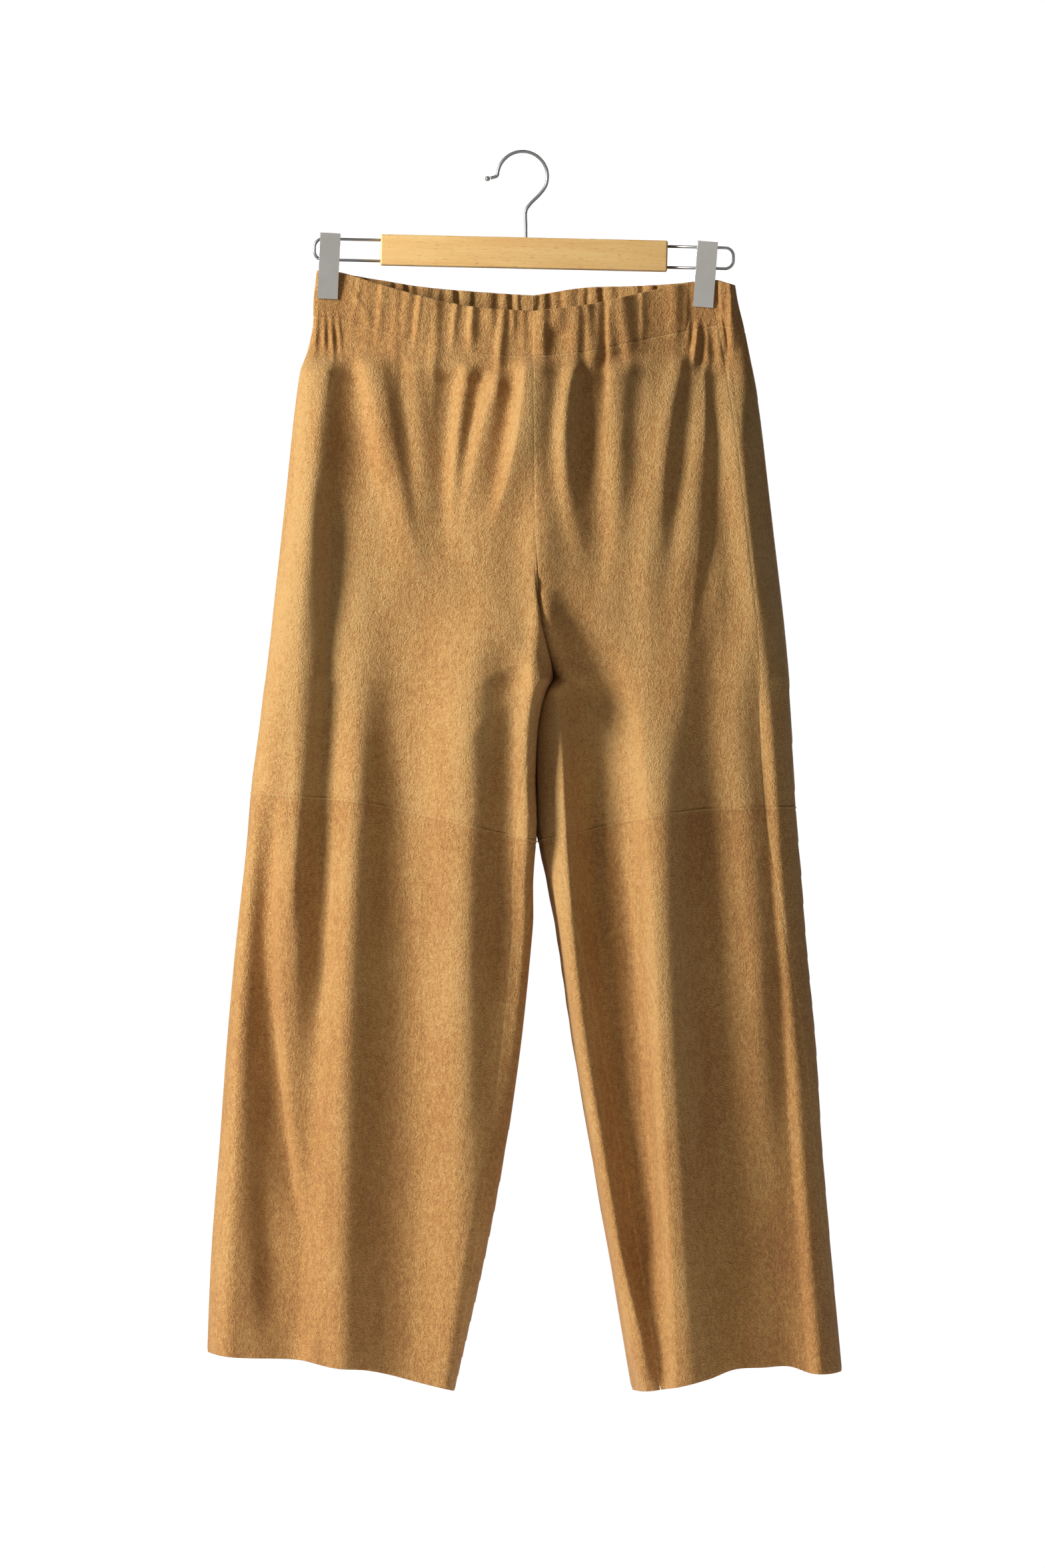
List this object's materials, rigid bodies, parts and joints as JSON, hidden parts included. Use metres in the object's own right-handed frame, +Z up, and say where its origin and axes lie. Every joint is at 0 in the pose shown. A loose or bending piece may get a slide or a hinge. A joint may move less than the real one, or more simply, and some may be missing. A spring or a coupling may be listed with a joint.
{
  "type": "wide-leg pants on a clip hanger",
  "caption": "Wide-leg pull-on suede pants with a gathered elastic casing, hung flat by two clips from a wooden bar hanger.",
  "frame": {"origin": "inside top of the hanger's hook, where a rail carries it", "axes": "+Z up, +X to the viewer's right, the front of the pants faces -Y"},
  "size_m": [0.5292, 0.1344, 1.0399],
  "materials": {
    "suede": "napped suede, matt with a soft sheen",
    "beech": "clear satin varnish",
    "steel_wire": "drawn wire, semi-bright",
    "clip_plate": "bright plated sheet steel"
  },
  "bodies": {
    "root": {"casing_front_left": "suede", "upper_front_left": "suede", "lower_front_left": "suede", "casing_back_left": "suede", "upper_back_left": "suede", "lower_back_left": "suede", "casing_front_right": "suede", "upper_front_right": "suede", "lower_front_right": "suede", "casing_back_right": "suede", "upper_back_right": "suede", "lower_back_right": "suede", "hanger_bar": "beech", "hook": "steel_wire", "hook_ball": "steel_wire", "wire_loop_left": "steel_wire", "wire_loop_right": "steel_wire", "clip_left_front_jaw": "clip_plate", "clip_left_back_jaw": "clip_plate", "clip_left_slider": "steel_wire", "clip_right_front_jaw": "clip_plate", "clip_right_back_jaw": "clip_plate", "clip_right_slider": "steel_wire"}
  },
  "joints": []
}
